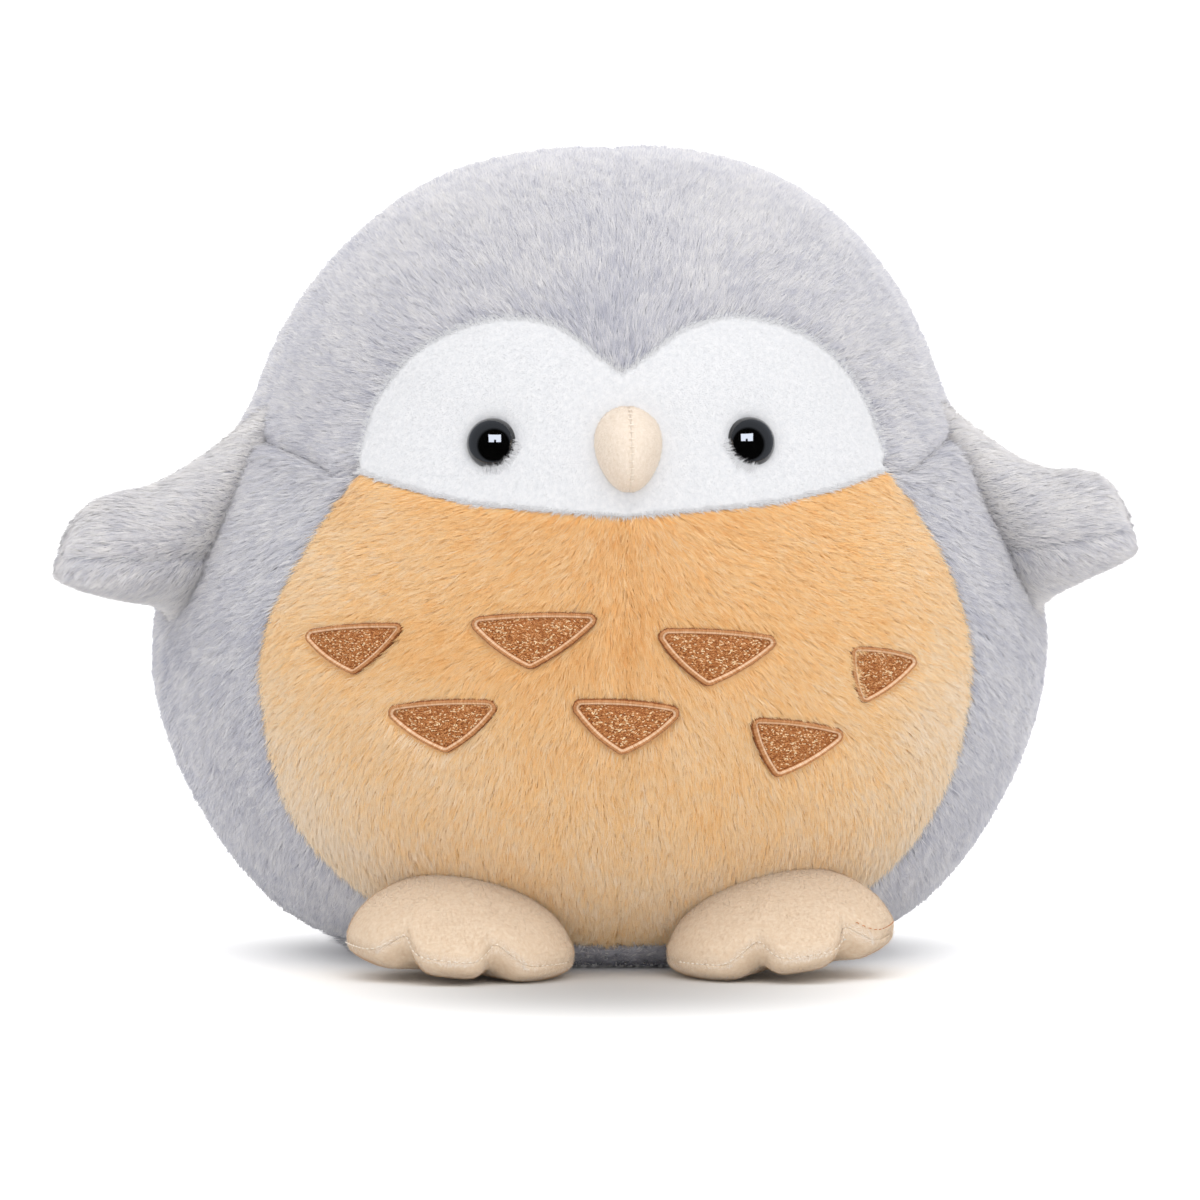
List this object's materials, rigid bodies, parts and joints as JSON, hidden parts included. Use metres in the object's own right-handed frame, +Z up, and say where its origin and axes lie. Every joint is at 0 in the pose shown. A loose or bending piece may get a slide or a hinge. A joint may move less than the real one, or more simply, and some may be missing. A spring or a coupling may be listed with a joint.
{
  "type": "plush bird",
  "caption": "Round stuffed toy bird with a pale lobed face, domed eyes, sewn beak, side flippers, toed feet and embroidered feather marks on its belly.",
  "frame": {"origin": "middle of the flat underside of the body, on the surface it stands on", "axes": "+X to the viewer's right when looking at the face, -Y the way the face looks, +Z up"},
  "size_m": [0.2633, 0.1949, 0.194],
  "materials": {
    "grey_plush": "cool light grey cut-pile plush",
    "tan_plush": "warm tan cut-pile plush",
    "white_minky": "short smooth white pile",
    "peach_minky": "short smooth peach pile",
    "brown_embroidery": "dense brown thread fill stitch",
    "satin_stitch": "brown satin stitch with a pale inner line",
    "black_gloss_plastic": "polished black",
    "washer_plastic": "natural moulded plastic",
    "polyester_fibre": "loose white fibre"
  },
  "bodies": {
    "torso": {"body_filling": "polyester_fibre", "crown_panel_left": "grey_plush", "crown_panel_right": "grey_plush", "belly_panel_left": "tan_plush", "belly_panel_right": "tan_plush", "side_panel_left": "grey_plush", "side_panel_right": "grey_plush", "back_panel_left": "grey_plush", "back_panel_right": "grey_plush", "face_panel": "white_minky", "base_panel": "grey_plush", "beak_panel_left": "peach_minky", "beak_panel_right": "peach_minky", "beak_filling": "polyester_fibre", "eye_left": "black_gloss_plastic", "eye_right": "black_gloss_plastic", "eye_washer_left": "washer_plastic", "eye_washer_right": "washer_plastic", "feather_patch_1": "brown_embroidery", "feather_patch_2": "brown_embroidery", "feather_patch_3": "brown_embroidery", "feather_patch_4": "brown_embroidery", "feather_patch_5": "brown_embroidery", "feather_patch_6": "brown_embroidery", "feather_patch_7": "brown_embroidery", "feather_border_1": "satin_stitch", "feather_border_2": "satin_stitch", "feather_border_3": "satin_stitch", "feather_border_4": "satin_stitch", "feather_border_5": "satin_stitch", "feather_border_6": "satin_stitch", "feather_border_7": "satin_stitch"},
    "wing_left": {"wing_left_upper_panel": "grey_plush", "wing_left_lower_panel": "grey_plush", "wing_left_filling": "polyester_fibre"},
    "foot_left": {"foot_left_upper_panel": "peach_minky", "foot_left_sole_panel": "peach_minky", "foot_left_filling": "polyester_fibre"},
    "wing_right": {"wing_right_upper_panel": "grey_plush", "wing_right_lower_panel": "grey_plush", "wing_right_filling": "polyester_fibre"},
    "foot_right": {"foot_right_upper_panel": "peach_minky", "foot_right_sole_panel": "peach_minky", "foot_right_filling": "polyester_fibre"}
  },
  "joints": [
    {"name": "wing_left_swing", "type": "hinge", "parent": "torso", "child": "wing_left", "pos_m": [-0.09338, -0.01833, 0.10985], "axis": [-0.4137, -0.0424, -0.9094], "range_deg": [-25, 25], "stiffness_Nm_per_rad": 0.03},
    {"name": "foot_left_flex", "type": "hinge", "parent": "torso", "child": "foot_left", "pos_m": [-0.0345, -0.04982, 0.0042], "axis": [0.9848, -0.1736, 0], "range_deg": [0, 30], "stiffness_Nm_per_rad": 0.05},
    {"name": "wing_right_swing", "type": "hinge", "parent": "torso", "child": "wing_right", "pos_m": [0.09338, -0.01833, 0.10985], "axis": [0.4137, -0.0424, -0.9094], "range_deg": [-25, 25], "stiffness_Nm_per_rad": 0.03},
    {"name": "foot_right_flex", "type": "hinge", "parent": "torso", "child": "foot_right", "pos_m": [0.0345, -0.04982, 0.0042], "axis": [0.9848, 0.1736, 0], "range_deg": [0, 30], "stiffness_Nm_per_rad": 0.05}
  ]
}
